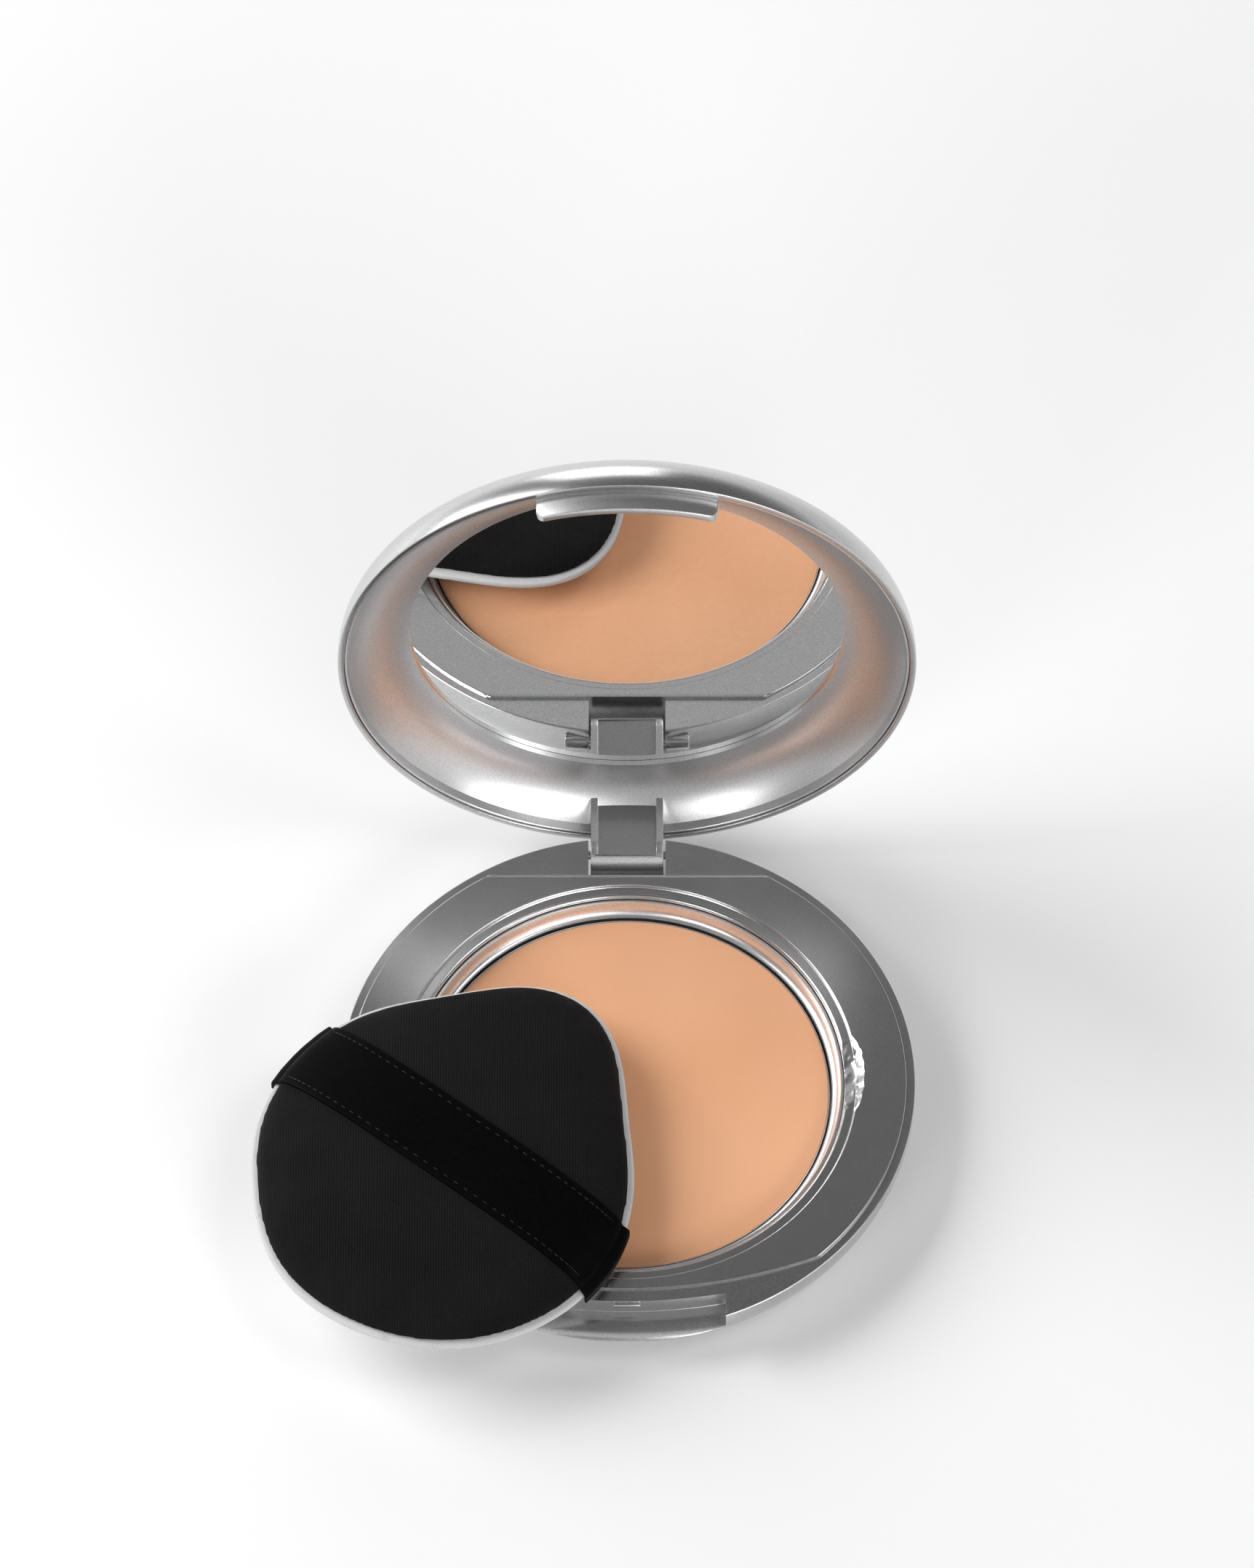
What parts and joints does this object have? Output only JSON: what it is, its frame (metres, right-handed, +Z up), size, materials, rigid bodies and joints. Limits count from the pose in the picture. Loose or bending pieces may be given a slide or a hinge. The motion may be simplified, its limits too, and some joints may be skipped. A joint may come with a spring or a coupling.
{
  "type": "powder compact with puff",
  "caption": "Round satin-silver powder compact with a hinged mirror lid, a pan of pressed powder and a loose black puff with a ribbon strap, shown open.",
  "frame": {"origin": "centre of the base's flat underside", "axes": "+Z up out of the base's deck, +Y towards the hinge, +X to the right of someone facing the mirror"},
  "size_m": [0.0861, 0.0946, 0.0786],
  "materials": {
    "shell_silver": "satin silver metallised plastic",
    "deck_silver": "satin silver metallised plastic",
    "tray_silver": "satin silver metallised plastic",
    "glue_pad": "hot-melt glue",
    "pan_aluminium": "pressed sheet",
    "powder": "pressed powder",
    "pin_steel": "drawn wire",
    "lid_silver": "satin silver metallised plastic",
    "frame_silver": "satin silver metallised plastic",
    "mirror_glass": "silvered glass",
    "mirror_tape": "foam tape",
    "puff_velour": "short velour",
    "puff_twill": "black twill",
    "puff_foam": "open foam",
    "ribbon_satin": "black satin"
  },
  "bodies": {
    "base": {"base_shell": "shell_silver", "base_deck": "deck_silver", "powder_tray": "tray_silver", "pan_pad": "glue_pad", "powder_pan": "pan_aluminium", "pressed_powder": "powder", "hinge_pin": "pin_steel"},
    "lid": {"lid_shell": "lid_silver", "mirror_frame": "frame_silver", "mirror": "mirror_glass", "mirror_tape": "mirror_tape"},
    "puff": {"puff_face": "puff_velour", "puff_backing": "puff_twill", "puff_core": "puff_foam", "puff_ribbon": "ribbon_satin"}
  },
  "joints": [
    {"name": "lid_hinge", "type": "hinge", "parent": "base", "child": "lid", "pos_m": [0, 0.0365, 0.0051], "axis": [1, 0, 0], "range_deg": [0, 94.5]},
    {"name": "puff_turn_over", "type": "hinge", "parent": "base", "child": "puff", "pos_m": [-0.04647, -0.02857, 0.0077], "axis": [0.5237, -0.8519, 0], "range_deg": [0, 180]}
  ],
  "couplings": [
    {"joint": "puff_turn_over", "follows": "lid_hinge", "ratio": 1.9047}
  ]
}
